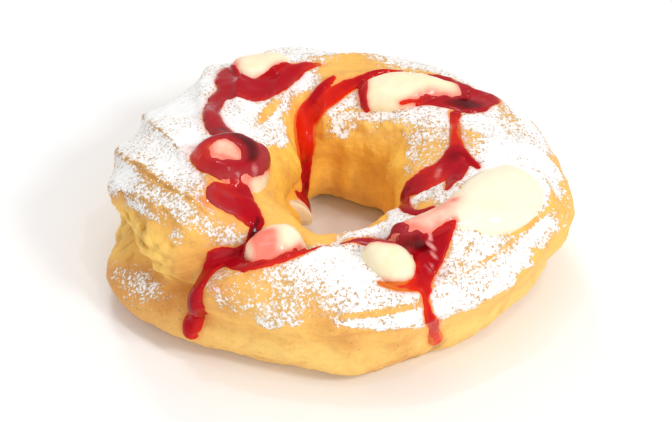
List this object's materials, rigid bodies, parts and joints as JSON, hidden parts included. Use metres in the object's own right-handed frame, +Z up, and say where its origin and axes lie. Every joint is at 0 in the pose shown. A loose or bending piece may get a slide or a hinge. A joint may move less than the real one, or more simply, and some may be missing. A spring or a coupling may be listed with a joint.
{
  "type": "zeppola",
  "caption": "Ring of choux pastry piped in twisted ridges, dusted with sugar, with poured fruit sauce and dollops of cream on top.",
  "frame": {"origin": "middle of the pastry's bounding box on the surface it stands on", "axes": "+Z up through the hole, -Y towards the front with the end of the piped strand at front left, +X to the right"},
  "size_m": [0.1179, 0.1096, 0.0428],
  "materials": {
    "choux": "baked golden choux crust, matte, browner on its ridges",
    "cream": "smooth ivory custard cream, soft gloss",
    "fruit_sauce": "deep red fruit sauce, wet gloss",
    "powdered_sugar": "fine white powder, matte"
  },
  "bodies": {
    "root": {"choux_ring": "choux", "cream_back": "cream", "cream_left": "cream", "cream_seam": "cream", "cream_hole": "cream", "cream_far": "cream", "cream_right": "cream", "cream_front": "cream"}
  },
  "joints": []
}
